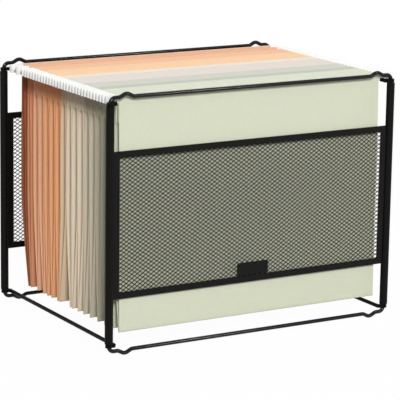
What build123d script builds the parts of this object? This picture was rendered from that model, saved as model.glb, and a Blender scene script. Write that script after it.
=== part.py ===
from build123d import *
import math
import os

# Portable file box: two wire panels with mesh fronts, joined by four rails whose eyes turn on the
# panels' upright legs, and letter-size hanging folders hooked over the two upper rails.
# Millimetres. X is the width, the front faces -Y, +Z is up, the feet stand on Z = 0.

# Wire, sleeves and rails
wire_radius = 2.0  # 4 mm drawn wire
corner_radius = 5.5  # centre line of a panel's bent corner
sleeve_radius = 4.1  # outside of the spacer tube round each upright leg
sleeve_play = 0.15  # radial, tube on leg
joint_gap = 0.3  # between pieces that move past each other
rail_above_bend = 0.4  # rail centre beyond the end of the corner bend
rail_overrun = 0.6  # rail end beyond the legs' plane
rail_end_round = 1.6
eye_radius = 3.5  # flattened rail end, outside
eye_height = 3.2
eye_web = 4.4  # width of the flat between rail and eye

# Feet of the panel loops, and the same humps on top
foot_drop = 3.0
foot_from_leg = 17.5
foot_half_length = 7.5
foot_crest = 3.0  # straight length that touches the table
foot_bend = 5.0

# Hanging folders
open_count = 15  # folders that stand open, from the front
closed_count = 2  # folders pushed shut behind them
bar_spacing = 6.6  # between an open folder's two bars
closed_spacing = 2.6
folder_gap = 5.8  # from one open folder's bar to the next folder's
closed_gap = 11.0  # in front of each closed folder
paper_width = 298.5
paper_height = 232.5
paper_thickness = 0.3
crease_spread = 1.6  # between the two flaps at the bottom fold
belly_swell = 1.8  # a flap's widest line outside its bar
belly_level = 95.0  # widest line above the bottom fold
# How far each folder's bottom fold hangs behind its bars, from the front
folder_leans = (-6, -3, -3.5, 0, 3, 4.5, 4.5, 5, -3.5, 8, 0.5, 1, -1.5, -6, -5, -4.5, -13)
front_margin = 5.6  # legs' plane to the first bar
back_margin = 19.0  # last bar to the back legs' plane
bottom_gap = 17.3  # lower wire's centre to the bottom folds
paper_to_rail = 3.85

# Hanger bars
bar_thickness = 0.6
bar_height = 8.0
bar_play = 0.15  # bar in its paper channel
tip_thickness = 1.4  # coated hook
hook_bridge = 5.0  # above the notch
hook_leg = 3.8  # outer leg, along X
hook_reach = 2.6  # outer leg below the rail's top
fold_limit = 20.0  # degrees, each way

# Mesh panels
mesh_below_top = 52.0  # upper wire's centre to the edging
mesh_above_bottom = 51.6
edging_width = 6.2
edging_thickness = 1.6
edging_grip = 4.0  # mesh held inside the edging
weld_gap = 0.1
mesh_thickness = 0.6
mesh_pitch_x = 18.2  # three cells of the real 6 mm by 4 mm mesh
mesh_pitch_z = 12.4
mesh_strand = 2.9
label_width = 35.5
label_height = 13.0
label_thickness = 0.8
label_corner = 1.0
label_above_edging = 0.8

# Worked-out places
rail_inset = sleeve_radius + wire_radius
rail_x = paper_width / 2 + paper_to_rail + wire_radius
leg_x = rail_x + rail_inset
open_stack = open_count * bar_spacing + (open_count - 1) * folder_gap
closed_stack = closed_count * (closed_gap + closed_spacing)
frame_depth = front_margin + open_stack + closed_stack + back_margin
leg_y = frame_depth / 2
rail_level = corner_radius + rail_above_bend
z_low = foot_drop + wire_radius
paper_bottom = z_low + bottom_gap
paper_top = paper_bottom + paper_height
bar_top = paper_top - paper_thickness - bar_play
z_rail_top = bar_top - hook_bridge - joint_gap - wire_radius
z_rail_low = z_low + rail_level
z_high = z_rail_top + rail_level
sleeve_low = z_rail_low + wire_radius + joint_gap
sleeve_high = z_rail_top - wire_radius - joint_gap


def panel_loop():
    """One closed wire loop with humps above and feet below."""
    foot_x = leg_x - foot_from_leg
    profile = [
        (foot_x - foot_half_length, 0),
        (foot_x - foot_crest / 2, foot_drop),
        (foot_x + foot_crest / 2, foot_drop),
        (foot_x + foot_half_length, 0),
    ]
    points = [(0, 0, z_high)]
    points += [(x, 0, z_high + rise) for x, rise in profile]
    points += [(leg_x, 0, z_high), (leg_x, 0, z_low)]
    points += [(x, 0, z_low - rise) for x, rise in reversed(profile)]
    points += [(0, 0, z_low)]
    bends = [foot_bend] * 4 + [corner_radius] * 2 + [foot_bend] * 4
    path = FilletPolyline(*points, radius=bends)
    half = sweep(Plane(path @ 0, z_dir=path % 0) * Circle(wire_radius), path=path)
    return half + mirror(half, about=Plane.YZ)


def sleeve(x):
    """Spacer tube on an upright leg, between the upper and lower rail eyes."""
    ring = Circle(sleeve_radius) - Circle(wire_radius + sleeve_play)
    return extrude(Pos(x, 0, sleeve_low) * ring, amount=sleeve_high - sleeve_low)


def rail(side, z):
    """Side rail with a flattened, pierced eye at each end."""
    x = side * rail_x
    length = frame_depth + 2 * rail_overrun
    bar = Pos(x, 0, z) * Rot(90, 0, 0) * Cylinder(wire_radius, length)
    bar = fillet(bar.edges(), rail_end_round)
    flat = Sketch()
    holes = Sketch()
    for y in (-leg_y, leg_y):
        flat += Pos(side * leg_x, y) * Circle(eye_radius)
        flat += Pos(side * (leg_x + rail_x) / 2, y) * Rectangle(rail_inset, eye_web)
        holes += Pos(side * leg_x, y) * Circle(wire_radius + joint_gap)
    lift = Pos(0, 0, z - eye_height / 2)
    return bar + extrude(lift * flat, amount=eye_height) - extrude(lift * holes, amount=eye_height)


def edging():
    """Folded sheet edging round the mesh, slotted to grip it."""
    low = z_low + mesh_above_bottom
    high = z_high - mesh_below_top
    middle = (low + high) / 2
    width = 2 * (leg_x - sleeve_radius - weld_gap)
    frame = Box(width, edging_thickness, high - low)
    window = Box(width - 2 * edging_width, edging_thickness, high - low - 2 * edging_width)
    slot = Box(
        window.bounding_box().size.X + 2 * (edging_grip + weld_gap),
        mesh_thickness + 2 * weld_gap,
        window.bounding_box().size.Z + 2 * (edging_grip + weld_gap),
    )
    return Pos(0, 0, middle) * (frame - window - slot)


def mesh_sheet():
    """Expanded-metal sheet: staggered diamond holes in a plain margin."""
    low = z_low + mesh_above_bottom + edging_width
    high = z_high - mesh_below_top - edging_width
    middle = (low + high) / 2
    width = 2 * (leg_x - sleeve_radius - weld_gap - edging_width)
    height = high - low
    columns = round(width / mesh_pitch_x)
    rows = round(height / mesh_pitch_z)
    step_x = width / columns
    step_z = height / rows
    shrink = 1 - mesh_strand * math.hypot(step_x, step_z) / (step_x * step_z)
    half_x = shrink * step_x / 2
    half_z = shrink * step_z / 2
    holes = []
    for shift in (0.5, 1.0):
        for column in range(columns if shift < 1 else columns - 1):
            for row in range(rows if shift < 1 else rows - 1):
                x = -width / 2 + (column + shift) * step_x
                z = -height / 2 + (row + shift) * step_z
                corners = [(x - half_x, z), (x, z - half_z), (x + half_x, z), (x, z + half_z)]
                holes.append(Wire.make_polygon(corners, close=True))
    outline = Wire.make_rect(width + 2 * edging_grip, height + 2 * edging_grip)
    face = Plane.XZ * Face(outline, holes)
    return Pos(0, 0, middle) * extrude(face, amount=mesh_thickness / 2, both=True)


def label_plate():
    """Plain plate on the front mesh, just above the lower edging."""
    low = z_low + mesh_above_bottom + edging_width + label_above_edging
    y = -(mesh_thickness + label_thickness) / 2
    plate = Box(label_width, label_thickness, label_height)
    plate = fillet(plate.edges().filter_by(Axis.Y), label_corner)
    return Pos(0, y, low + label_height / 2) * plate


def folder_paper(spacing, lean):
    """One folded sheet: two bowed flaps from a bottom crease, each rolled into a channel for its bar."""
    channel_inner = bar_thickness / 2 + bar_play
    channel_outer = channel_inner + paper_thickness
    inner_height = bar_height + 2 * bar_play
    channel_height = inner_height + 2 * paper_thickness
    channel_middle = paper_top - channel_height / 2
    channel_bottom = paper_top - channel_height
    half = paper_thickness / 2
    belly_z = paper_bottom + belly_level
    profile = Pos(lean, paper_bottom + half) * Rectangle(crease_spread + paper_thickness, paper_thickness)
    for side in (-1, 1):
        top = side * spacing / 2
        belly = side * (spacing / 2 + belly_swell)
        low = lean + side * crease_spread / 2
        flap = [
            (low - half, paper_bottom),
            (low + half, paper_bottom),
            (belly + half, belly_z),
            (top + half, channel_bottom + half),
            (top - half, channel_bottom + half),
            (belly - half, belly_z),
        ]
        channel = Rectangle(2 * channel_outer, channel_height)
        channel -= Rectangle(2 * channel_inner, inner_height)
        profile += make_face(Polyline(*flap, close=True))
        profile += Pos(top, channel_middle) * channel
    section = Plane.YZ * profile
    return extrude(section, amount=paper_width / 2, both=True)


def hanger_bar():
    """A flat bar with coated hooks, notched wide enough for the box to rack."""
    lean = math.radians(fold_limit)
    half_stack = (bar_spacing + tip_thickness) / 2
    notch = wire_radius / math.cos(lean) + half_stack * math.tan(lean)
    notch += rail_inset * (1 - math.cos(lean)) + joint_gap
    notch_top = z_rail_top + wire_radius + joint_gap
    hook_bottom = z_rail_top + wire_radius - hook_reach
    tip_start = paper_width / 2 + joint_gap
    tip_end = rail_x + notch + hook_leg
    outline = [
        (-tip_end, hook_bottom),
        (-tip_end, bar_top),
        (tip_end, bar_top),
        (tip_end, hook_bottom),
        (rail_x + notch, hook_bottom),
        (rail_x + notch, notch_top),
        (rail_x - notch, notch_top),
        (rail_x - notch, bar_top - bar_height),
        (notch - rail_x, bar_top - bar_height),
        (notch - rail_x, notch_top),
        (-notch - rail_x, notch_top),
        (-notch - rail_x, hook_bottom),
    ]
    blank = Plane.XZ * make_face(Polyline(*outline, close=True))
    thin = extrude(blank, amount=bar_thickness / 2, both=True)
    thick = extrude(blank, amount=tip_thickness / 2, both=True)
    tall = 2 * max(bar_height + joint_gap, bar_top - hook_bottom)
    return thin + (thick - Pos(0, 0, bar_top) * Box(2 * tip_start, tip_thickness, tall))


def folder_places():
    """Each folder's middle along Y, the spacing of its two bars and its lean, from the front."""
    places = []
    front_bar = -leg_y + front_margin
    for index in range(open_count + closed_count):
        spacing = bar_spacing if index < open_count else closed_spacing
        lean = folder_leans[index % len(folder_leans)]
        places.append((front_bar + spacing / 2, spacing, lean))
        front_bar += spacing + (folder_gap if index < open_count - 1 else closed_gap)
    return places


def build_nodes():
    nodes = {}
    panel = {
        "wire_loop": panel_loop(),
        "left_sleeve": sleeve(-leg_x),
        "right_sleeve": sleeve(leg_x),
        "mesh": mesh_sheet(),
        "mesh_edging": edging(),
    }
    for name, y in (("front", -leg_y), ("back", leg_y)):
        for piece, shape in panel.items():
            nodes[f"{name}_{piece}"] = Pos(0, y, 0) * shape
    nodes["front_label_plate"] = Pos(0, -leg_y, 0) * label_plate()
    for name, side in (("left", -1), ("right", 1)):
        nodes[f"{name}_upper_rail"] = rail(side, z_rail_top)
        nodes[f"{name}_lower_rail"] = rail(side, z_rail_low)
    bar = hanger_bar()
    for index, (y, spacing, lean) in enumerate(folder_places(), start=1):
        pair = [Pos(0, y + side * spacing / 2, 0) * bar for side in (-1, 1)]
        nodes[f"folder_{index:02d}_paper"] = Pos(0, y, 0) * folder_paper(spacing, lean)
        nodes[f"folder_{index:02d}_bars"] = Compound(pair)
    return nodes


os.makedirs("parts", exist_ok=True)
for node_name, shape in build_nodes().items():
    export_step(shape, f"parts/{node_name}.step")
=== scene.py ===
import math
import random

import bmesh
import bpy
from mathutils import Matrix, Vector


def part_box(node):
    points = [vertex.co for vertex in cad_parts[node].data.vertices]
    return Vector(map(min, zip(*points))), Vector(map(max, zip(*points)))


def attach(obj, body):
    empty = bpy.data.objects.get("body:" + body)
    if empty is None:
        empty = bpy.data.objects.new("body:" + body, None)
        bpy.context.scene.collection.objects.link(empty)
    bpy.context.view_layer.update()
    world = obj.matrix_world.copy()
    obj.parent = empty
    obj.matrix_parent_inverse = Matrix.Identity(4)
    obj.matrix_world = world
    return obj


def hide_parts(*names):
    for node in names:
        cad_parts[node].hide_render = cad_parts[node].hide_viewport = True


# Portable file box: the steel frame and the hanger bars come from the CAD model. The folders' paper and the two
# mesh sheets are made here, finer than the solids. Metres, +Z up, the front faces -Y.

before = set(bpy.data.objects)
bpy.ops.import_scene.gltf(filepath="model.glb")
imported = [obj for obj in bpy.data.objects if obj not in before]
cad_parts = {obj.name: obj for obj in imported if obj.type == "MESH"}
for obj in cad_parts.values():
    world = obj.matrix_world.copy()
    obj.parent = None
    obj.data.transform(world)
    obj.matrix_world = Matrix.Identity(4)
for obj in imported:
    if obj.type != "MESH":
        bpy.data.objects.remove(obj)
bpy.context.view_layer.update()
print("frame loaded")


def linearColour(hexText):
    # sRGB hex to the linear colour that the shaders take
    parts = [int(hexText[i:i + 2], 16) / 255 for i in (1, 3, 5)]
    return tuple(c / 12.92 if c <= 0.04045 else ((c + 0.055) / 1.055) ** 2.4 for c in parts) + (1.0,)


def addNode(tree, kind, inputs=None, **settings):
    # One node with its settings; an input takes a value or another node's output
    made = tree.nodes.new(kind)
    for key, value in settings.items():
        setattr(made, key, value)
    for key, value in (inputs or {}).items():
        if isinstance(value, bpy.types.NodeSocket):
            tree.links.new(value, made.inputs[key])
        else:
            made.inputs[key].default_value = value
    return made


def newMaterial(name):
    made = bpy.data.materials.new(name)
    made.use_nodes = True
    made.node_tree.nodes.clear()
    return made, made.node_tree


def closeMaterial(tree, surface):
    addNode(tree, "ShaderNodeOutputMaterial", {"Surface": surface.outputs[0]})


sharpFrom = math.radians(35)  # folds at least this steep keep a crisp edge


def smoothMesh(mesh):
    mesh.shade_smooth()
    mesh.set_sharp_from_angle(angle=sharpFrom)


def newObject(name, bm, material):
    # A mesh object from a bmesh, at the origin
    mesh = bpy.data.meshes.new(name)
    bm.to_mesh(mesh)
    bm.free()
    mesh.materials.append(material)
    made = bpy.data.objects.new(name, mesh)
    bpy.context.scene.collection.objects.link(made)
    return made


def newPiece(name, bm, material, body):
    # A smooth-shaded object that rides on a body of the box
    piece = newObject(name, bm, material)
    smoothMesh(piece.data)
    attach(piece, body)
    return piece


powderCoat = {"colour": "#0b0a09", "speck": "#131110", "peelSize": 0.0016, "peelDepth": 0.0001, "peelBump": 0.06,
              "edgeRound": 0.0006}
# Roughness and shine of the coat on each kind of part
coatGloss = {"wire": (0.10, 0.22), "rail": (0.40, 0.05), "sheet": (0.40, 0.08), "trim": (0.38, 0.12),
             "sleeve": (0.46, 0.08)}


def makePowderCoat(part):
    # Polyester powder coat, baked on steel: near-black, with a soft streak of light and faint orange peel. It levels
    # out glossiest on the drawn wire of the two loops. The rails, the mesh, its edging and plate are duller, and the
    # turning tubes are dullest. Folded sheet edges catch the light as if slightly rounded.
    material, tree = newMaterial(f"blackPowderCoatedSteel{part.title()}")
    roughness, shine = coatGloss[part]
    place = addNode(tree, "ShaderNodeTexCoord").outputs["Object"]
    peel = addNode(tree, "ShaderNodeTexNoise",
                   {"Vector": place, "Scale": 1 / powderCoat["peelSize"], "Detail": 2.0, "Roughness": 0.5})
    tone = addNode(tree, "ShaderNodeMix",
                   {"Factor": peel.outputs["Fac"], 6: linearColour(powderCoat["colour"]),
                    7: linearColour(powderCoat["speck"])}, data_type="RGBA")
    bump = addNode(tree, "ShaderNodeBump",
                   {"Height": peel.outputs["Fac"], "Strength": powderCoat["peelBump"],
                    "Distance": powderCoat["peelDepth"]})
    if part == "trim":
        rounded = addNode(tree, "ShaderNodeBevel", {"Radius": powderCoat["edgeRound"]}, samples=6)
        tree.links.new(rounded.outputs[0], bump.inputs["Normal"])
    shader = addNode(tree, "ShaderNodeBsdfPrincipled",
                     {"Base Color": tone.outputs[2], "Roughness": roughness, "Specular IOR Level": shine,
                      "Normal": bump.outputs[0]})
    closeMaterial(tree, shader)
    return material


# coatFrom is the distance from the box's middle plane at which the dip begins, just outside the paper
hookCoat = {"coat": "#fafaf8", "steel": "#b4b3af", "coatRoughness": 0.38, "steelRoughness": 0.32, "coatFrom": 0.1493,
            "grainScale": 900.0, "grainDepth": 0.05}


def makeHookCoat():
    # Zinc-plated steel strip whose hooked ends are dipped in white vinyl: dull grey inside the paper, smooth white
    # out of it.
    material, tree = newMaterial("whiteDippedSteelHook")
    place = addNode(tree, "ShaderNodeTexCoord").outputs["Object"]
    across = addNode(tree, "ShaderNodeSeparateXYZ", {0: place}).outputs["X"]
    reach = addNode(tree, "ShaderNodeMath", {0: across}, operation="ABSOLUTE").outputs[0]
    bare = addNode(tree, "ShaderNodeMath", {0: reach, 1: hookCoat["coatFrom"]}, operation="LESS_THAN").outputs[0]
    grain = addNode(tree, "ShaderNodeTexNoise",
                    {"Vector": place, "Scale": hookCoat["grainScale"], "Detail": 1.0}).outputs["Fac"]
    dull = addNode(tree, "ShaderNodeMapRange",
                   {"Value": grain, "To Min": -hookCoat["grainDepth"], "To Max": hookCoat["grainDepth"]}).outputs[0]
    tone = addNode(tree, "ShaderNodeMix",
                   {"Factor": bare, 6: linearColour(hookCoat["coat"]), 7: linearColour(hookCoat["steel"])},
                   data_type="RGBA")
    rough = addNode(tree, "ShaderNodeMix",
                    {"Factor": bare, 2: hookCoat["coatRoughness"], 3: hookCoat["steelRoughness"]})
    rough = addNode(tree, "ShaderNodeMath", {0: rough.outputs[0], 1: dull}, operation="ADD")
    shader = addNode(tree, "ShaderNodeBsdfPrincipled",
                     {"Base Color": tone.outputs[2], "Metallic": bare, "Roughness": rough.outputs[0]})
    closeMaterial(tree, shader)
    return material


# topLightFrom and topLightTo: how far below the top the painted light on the top fold begins and is full
paperStock = {"roughness": 0.7, "shine": 0.4, "fuzz": 0.1, "fuzzRoughness": 0.5, "glow": 0.35, "glowDepth": 0.0006,
              "glowSpread": (1.0, 0.65, 0.45), "mottle": 0.0035, "fibre": 0.0004, "fibreStretch": 6.0,
              "cloudRange": (0.3, 0.7), "shadeRange": (0.965, 1.025), "bump": 0.12, "bumpDepth": 0.0002,
              "scorePitch": 0.00635, "scoreWidth": 0.0005, "scoreReach": 0.0265, "topLightFrom": 0.0045,
              "topLightTo": 0.0015}


def makePaper(name, sheetColour, paintedTopColour, bottom, top):
    # Uncoated folder stock, dyed in the pulp and pressed: matte, faintly mottled, with short fibres along the sheet
    # and pressed score lines above the bottom fold. Where the sheet folds over its bar, the colour turns paler and
    # greyer: painted light, for the light and sheen the top catches.
    # Real fibres are 0.03 mm wide and are drawn wider to show.
    material, tree = newMaterial(name)
    place = addNode(tree, "ShaderNodeTexCoord").outputs["Object"]
    mottle = addNode(tree, "ShaderNodeTexNoise",
                     {"Vector": place, "Scale": 1 / paperStock["mottle"], "Detail": 3.0,
                      "Roughness": 0.6}).outputs["Fac"]
    along = addNode(tree, "ShaderNodeMapping",
                    {"Vector": place, "Scale": (1 / paperStock["fibreStretch"], 1.0, 1.0)})
    fibre = addNode(tree, "ShaderNodeTexNoise",
                    {"Vector": along.outputs[0], "Scale": 1 / paperStock["fibre"], "Detail": 2.0,
                     "Roughness": 0.7}).outputs["Fac"]
    cloud = addNode(tree, "ShaderNodeMix", {"Factor": 0.5, 2: mottle, 3: fibre}).outputs[0]
    (cloudLow, cloudHigh), (shadeLow, shadeHigh) = paperStock["cloudRange"], paperStock["shadeRange"]
    shade = addNode(tree, "ShaderNodeMapRange",
                    {"Value": cloud, "From Min": cloudLow, "From Max": cloudHigh, "To Min": shadeLow,
                     "To Max": shadeHigh}).outputs[0]
    # The scores are level lines at an even pitch, and only near the bottom fold
    height = addNode(tree, "ShaderNodeSeparateXYZ", {0: place}).outputs["Z"]
    above = addNode(tree, "ShaderNodeMath", {0: height, 1: bottom}, operation="SUBTRACT").outputs[0]
    turn = addNode(tree, "ShaderNodeMath", {0: above, 1: paperStock["scorePitch"]}, operation="PINGPONG").outputs[0]
    offLine = addNode(tree, "ShaderNodeMath", {0: paperStock["scorePitch"], 1: turn}, operation="SUBTRACT").outputs[0]
    line = addNode(tree, "ShaderNodeMapRange",
                   {"Value": offLine, "From Min": 0.0, "From Max": paperStock["scoreWidth"], "To Min": 1.0,
                    "To Max": 0.0}).outputs[0]
    low = addNode(tree, "ShaderNodeMath", {0: above, 1: paperStock["scoreReach"]}, operation="LESS_THAN").outputs[0]
    score = addNode(tree, "ShaderNodeMath", {0: line, 1: low}, operation="MULTIPLY").outputs[0]
    pressed = addNode(tree, "ShaderNodeMath", {0: cloud, 1: score}, operation="SUBTRACT").outputs[0]
    # Painted light: near the top fold the colour blends to the paler top colour, for the light the top catches
    paintedTopLight = addNode(tree, "ShaderNodeMapRange",
                   {"Value": height, "From Min": top - paperStock["topLightFrom"],
                    "From Max": top - paperStock["topLightTo"]}).outputs[0]
    dyeAndTopLight = addNode(tree, "ShaderNodeMix",
                  {"Factor": paintedTopLight, 6: linearColour(sheetColour), 7: linearColour(paintedTopColour)},
                  data_type="RGBA").outputs[2]
    tone = addNode(tree, "ShaderNodeVectorMath", {0: dyeAndTopLight, "Scale": shade}, operation="SCALE")
    bump = addNode(tree, "ShaderNodeBump",
                   {"Height": pressed, "Strength": paperStock["bump"], "Distance": paperStock["bumpDepth"]})
    shader = addNode(tree, "ShaderNodeBsdfPrincipled",
                     {"Base Color": tone.outputs[0], "Roughness": paperStock["roughness"],
                      "Specular IOR Level": paperStock["shine"], "Sheen Weight": paperStock["fuzz"],
                      "Sheen Roughness": paperStock["fuzzRoughness"], "Subsurface Weight": paperStock["glow"],
                      "Subsurface Radius": paperStock["glowSpread"], "Subsurface Scale": paperStock["glowDepth"],
                      "Normal": bump.outputs[0]})
    closeMaterial(tree, shader)
    return material


coated = {part: makePowderCoat(part) for part in coatGloss}
# The finish of each CAD node, by the ending of its name
finishOf = {"wire_loop": coated["wire"], "rail": coated["rail"], "sleeve": coated["sleeve"],
            "edging": coated["trim"], "plate": coated["trim"], "bars": makeHookCoat()}
for name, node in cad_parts.items():
    finish = next((made for ending, made in finishOf.items() if name.endswith(ending)), coated["sheet"])
    node.data.materials.clear()
    node.data.materials.append(finish)
print("materials made")


# Expanded steel with diamond cells; the strand is its width in the plane of the sheet
meshSheet = {"cellWidth": 0.0061, "cellHeight": 0.0041, "strand": 0.00076, "thickness": 0.0003}


def makeMeshSheet(name, node, body):
    low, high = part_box(node)
    middle, span = (low + high) / 2, high - low
    columns = round(span.x / meshSheet["cellWidth"])
    rows = round(span.z / meshSheet["cellHeight"])
    cells = columns + rows + 2  # squares along a side of the turned grid, enough to cover the sheet
    bm = bmesh.new()
    bmesh.ops.create_grid(bm, x_segments=cells, y_segments=cells, size=cells / 2)
    bmesh.ops.rotate(bm, verts=bm.verts, matrix=Matrix.Rotation(math.radians(45), 3, "Z"))
    diagonal = math.sqrt(2)  # of one square of the grid
    bmesh.ops.scale(bm, verts=bm.verts, vec=(span.x / columns / diagonal, span.z / rows / diagonal, 1.0))
    holes = bm.faces[:]
    bmesh.ops.inset_individual(bm, faces=holes, thickness=meshSheet["strand"] / 2, use_even_offset=True)
    bmesh.ops.delete(bm, geom=holes, context="FACES")
    for normal, reach in (((1, 0, 0), span.x / 2), ((0, 1, 0), span.z / 2)):
        for side in (-1, 1):
            bmesh.ops.bisect_plane(bm, geom=bm.verts[:] + bm.edges[:] + bm.faces[:], dist=1e-7,
                                   plane_co=Vector(normal) * side * reach, plane_no=Vector(normal) * side,
                                   clear_outer=True)
    bmesh.ops.solidify(bm, geom=bm.faces[:], thickness=meshSheet["thickness"])
    bmesh.ops.rotate(bm, verts=bm.verts, matrix=Matrix.Rotation(math.radians(90), 3, "X"))
    depth = [v.co.y for v in bm.verts]
    centre = middle - Vector((0, (min(depth) + max(depth)) / 2, 0))
    bmesh.ops.translate(bm, verts=bm.verts, vec=centre)
    bmesh.ops.recalc_face_normals(bm, faces=bm.faces)
    piece = newPiece(name, bm, coated["sheet"], body)
    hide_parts(node)


makeMeshSheet("front_diamond_mesh", "front_mesh", "front_panel")
makeMeshSheet("back_diamond_mesh", "back_mesh", "root")
print("mesh sheets made")


# Each folder is one sheet, from the hem inside one flap round the bottom fold to the hem inside the other. The turns
# are the angles, in radians, of the points round the bottom fold and over a bar.
folder = {"sheet": 0.0003, "channel": 0.0006, "hem": 0.028, "hemStart": 0.0006, "hemBend": (0.0002, 0.004),
          "hemLean": 0.0006, "creaseHalf": 0.0008, "creaseTurn": (0, 0.5, 1.1, 1.57),
          "barTurn": (0.6, 1.2, 1.57, 1.94, 2.54), "barHeight": 0.0086, "tipThickness": 0.0014, "flapSteps": 26,
          "widthSteps": 24, "stepSpread": 1.3, "fullness": 2.2, "swell": (0.0017, 0.0023), "swellShift": 0.95,
          "leanBelow": 0.43, "leanFade": 1.25, "twist": 0.0008, "waveHeight": 0.00025, "waveShare": (0.4, 1.0),
          "waveCount": 1.4, "waveFade": 1.05, "seed": 11}
# How far each bottom fold hangs behind its bars, in millimetres, from the front
folderLeans = [-6, -3, -3.5, 0, 3, 4.5, 4.5, 5, -3.5, 8, 0.5, 1, -1.5, -6, -5, -4.5, -13]
# The colour of each stock, and the paler painted-light colour of its top fold, for the light the top catches
stockColours = {"sageLight": ("#d9dcc5", "#d6d9c9"), "sageGrey": ("#d4ceb6", "#bfc4b9"),
                "sandGrey": ("#d9d0ba", "#cecec4"), "sandPale": ("#f1e1cb", "#ddd6cf"),
                "sandWarm": ("#ead1b3", "#e9ddcf"), "clayLight": ("#f6b989", "#f0cda9"),
                # Painted shade: the back folder's sheet, the last stock below, is clay painted dark for the deep gap
                # in front of it. clayDeep's sheet, a deeper orange, is also set a little darker for that shade.
                "clay": ("#f5bd97", "#ebbf9e"), "clayDeep": ("#dc9a74", "#e8b592"),
                "clayPaintedShade": ("#a15d3b", "#e2b99d")}
# Which stock each folder is cut from, from the front
stockOrder = ["sageLight"] * 3 + ["sageGrey"] + ["sandGrey"] * 2 + ["sandPale"] * 3 + ["sandWarm"]
stockOrder += ["clayLight"] * 3 + ["clay"] * 2 + ["clayDeep", "clayPaintedShade"]
dice = random.Random(folder["seed"])


def halfPath(side, spacing, low, high, lean, swell):
    # The sheet's middle line on one side, from the bottom fold up, over the bar and down to the hem's end
    half, crease, tube = spacing / 2, folder["creaseHalf"], folder["channel"]
    outer, inner = half + tube, half - tube
    bottom, top = low + folder["sheet"] / 2, high - folder["sheet"] / 2
    channelLow = high - folder["barHeight"] - 2 * folder["sheet"]
    path = [(side * crease * math.sin(a) + lean, bottom + crease * (1 - math.cos(a))) for a in folder["creaseTurn"]]
    for step in range(1, folder["flapSteps"] + 1):
        s = (step / folder["flapSteps"]) ** folder["stepSpread"]  # closer steps near the bottom fold
        opening = (outer - crease) * (1 - (1 - s) ** folder["fullness"])
        width = crease + opening + swell * math.sin(math.pi * s ** folder["swellShift"])
        sway = lean * max(0, 1 - s / folder["leanBelow"]) ** folder["leanFade"]
        path.append((side * width + sway, bottom + crease + s * (channelLow - bottom - crease)))
    upper = [(outer, top - tube)]
    upper += [(half + tube * math.cos(a), top - tube + tube * math.sin(a)) for a in folder["barTurn"]]
    bendIn, bendDown = folder["hemBend"]
    upper += [(inner, top - tube), (inner, channelLow + folder["hemStart"]),
              (inner - bendIn, channelLow - bendDown), (inner - folder["hemLean"], high - folder["hem"])]
    return path + [(side * y, z) for y, z in upper]


def makeFolder(index):
    name = f"folder_{index:02d}"
    low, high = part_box(name + "_paper")
    barLow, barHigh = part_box(name + "_bars")
    spacing = barHigh.y - barLow.y - folder["tipThickness"]
    middle = (barHigh.y + barLow.y) / 2
    lean = folderLeans[index - 1] / 1000
    front, back = (halfPath(side, spacing, low.z, high.z, lean, dice.uniform(*folder["swell"])) for side in (-1, 1))
    section = front[:0:-1] + back
    twist, phase = dice.uniform(-1, 1) * folder["twist"], dice.uniform(0, 1)
    wave = dice.uniform(*folder["waveShare"]) * folder["waveHeight"]
    bm = bmesh.new()
    bmesh.ops.create_grid(bm, x_segments=folder["widthSteps"], y_segments=len(section) - 1, size=0.5)
    for v in bm.verts:
        y, z = section[round((v.co.y + 0.5) * (len(section) - 1))]
        across = v.co.x
        drop = min(max((high.z - folder["hem"] - z) / (high.z - low.z), 0), 1)
        ripple = wave * math.sin(2 * math.pi * (across * folder["waveCount"] + phase))
        ripple *= math.sin(math.pi * min(drop * folder["waveFade"], 1))
        v.co = Vector((across * (high.x - low.x), middle + y + twist * across * 2 * drop ** 2 + ripple, z))
    bmesh.ops.recalc_face_normals(bm, faces=bm.faces)
    stock = stockOrder[index - 1]
    piece = newPiece(name + "_sheet", bm, paperOf[stock], name)
    # The sheet gets its thickness about the middle line, and the result is kept as its mesh
    shell = piece.modifiers.new("sheet", "SOLIDIFY")
    shell.thickness, shell.offset = folder["sheet"], 0.0
    bpy.context.view_layer.update()
    solid = bpy.data.meshes.new_from_object(piece.evaluated_get(bpy.context.evaluated_depsgraph_get()))
    piece.modifiers.clear()
    piece.data = solid
    smoothMesh(solid)
    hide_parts(name + "_paper")


paperLow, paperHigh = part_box("folder_01_paper")
paperOf = {stock: makePaper("pulpDyedFolderStock_" + stock, *colours, paperLow.z, paperHigh.z)
           for stock, colours in stockColours.items()}
for number in range(1, len(stockOrder) + 1):
    makeFolder(number)
print("folders made")


studio = {"world": 0.36, "floorColour": "#8f8f8d", "floorGlow": 0.92, "floorWhite": 1.06, "floorReach": 6.0,
          "aim": (0, 0, 0.12)}
# Square lamps; only the key and the edge leave streaks on the black coat
softboxes = {"key": {"place": (-2.03, -4.87, 2.93), "size": 1.2, "watts": 236, "streaks": True},
             "edge": {"place": (1.9, -3.2, 1.6), "size": 0.25, "watts": 18, "streaks": True},
             "back": {"place": (1.6, 3.7, 1.5), "size": 1.8, "watts": 55, "streaks": False},
             "right": {"place": (3.7, -0.5, 1.3), "size": 1.8, "watts": 40, "streaks": False}}


def seenDirectly(tree):
    # 1 for the camera's rays and for those that gloss or glass sends on
    path = addNode(tree, "ShaderNodeLightPath")
    seen = addNode(tree, "ShaderNodeMath", {0: path.outputs["Is Camera Ray"], 1: path.outputs["Is Glossy Ray"]},
                   operation="MAXIMUM")
    return addNode(tree, "ShaderNodeMath", {0: seen.outputs[0], 1: path.outputs["Is Transmission Ray"]},
                   operation="MAXIMUM").outputs[0]


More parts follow.
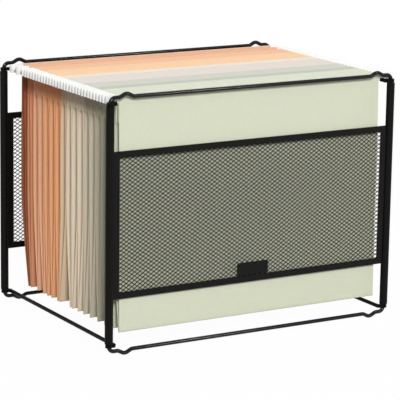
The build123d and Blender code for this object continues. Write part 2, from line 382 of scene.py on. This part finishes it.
def makeStage():
    # A white surround that lights the box softly, and a pale floor that keeps a trace of its shadow
    world = bpy.data.worlds.new("studio")
    bpy.context.scene.world = world
    world.use_nodes = True
    tree = world.node_tree
    tree.nodes.clear()
    level = addNode(tree, "ShaderNodeMix", {"Factor": seenDirectly(tree), 2: studio["world"], 3: 1.0})
    glow = addNode(tree, "ShaderNodeBackground", {"Color": (1, 1, 1, 1), "Strength": level.outputs[0]})
    addNode(tree, "ShaderNodeOutputWorld", {"Surface": glow.outputs[0]})

    floorMaterial, tree = newMaterial("paintedStudioFloor")
    flat = addNode(tree, "ShaderNodeBsdfDiffuse", {"Color": linearColour(studio["floorColour"])})
    white = addNode(tree, "ShaderNodeEmission", {"Color": (1, 1, 1, 1), "Strength": studio["floorWhite"]})
    share = addNode(tree, "ShaderNodeMath", {0: seenDirectly(tree), 1: studio["floorGlow"]}, operation="MULTIPLY")
    mixed = addNode(tree, "ShaderNodeMixShader", {0: share.outputs[0], 1: flat.outputs[0], 2: white.outputs[0]})
    closeMaterial(tree, mixed)
    bm = bmesh.new()
    bmesh.ops.create_grid(bm, x_segments=1, y_segments=1, size=studio["floorReach"])
    newObject("floor", bm, floorMaterial)


def addSoftbox(name, box):
    lamp = bpy.data.lights.new(name, "AREA")
    lamp.shape, lamp.size, lamp.energy = "SQUARE", box["size"], box["watts"]
    holder = bpy.data.objects.new(name, lamp)
    bpy.context.scene.collection.objects.link(holder)
    holder.location = box["place"]
    holder.visible_glossy = box["streaks"]
    holder.rotation_mode = "QUATERNION"
    holder.rotation_quaternion = (Vector(studio["aim"]) - Vector(box["place"])).to_track_quat("-Z", "Y")


# Angles in degrees, place in metres; focalPixels is the focal length in pixels of a frame as wide as pixels says
view = {"azimuth": 30.703, "down": 12.523, "roll": 0.888, "place": (-1.1043, -1.8719, 0.5987), "focalPixels": 2152.0,
        "pixels": 400, "sensor": 36.0, "near": 0.05, "far": 50}


def makeCamera():
    a, e, r = (math.radians(view[key]) for key in ("azimuth", "down", "roll"))
    ahead = Vector((math.sin(a) * math.cos(e), math.cos(a) * math.cos(e), -math.sin(e)))
    right = Vector((math.cos(a), -math.sin(a), 0))
    up = right.cross(ahead)
    right, up = right * math.cos(r) + up * math.sin(r), up * math.cos(r) - right * math.sin(r)
    data = bpy.data.cameras.new("camera")
    data.sensor_width = view["sensor"]
    data.lens = view["focalPixels"] / view["pixels"] * data.sensor_width
    data.clip_start, data.clip_end = view["near"], view["far"]
    camera = bpy.data.objects.new("camera", data)
    bpy.context.scene.collection.objects.link(camera)
    turned = Matrix((right, up, -ahead)).transposed().to_4x4()
    camera.matrix_world = Matrix.Translation(view["place"]) @ turned
    bpy.context.scene.camera = camera


makeStage()
for name, box in softboxes.items():
    addSoftbox(name, box)
makeCamera()
bpy.context.scene.view_settings.view_transform = "Standard"
print("stage set")
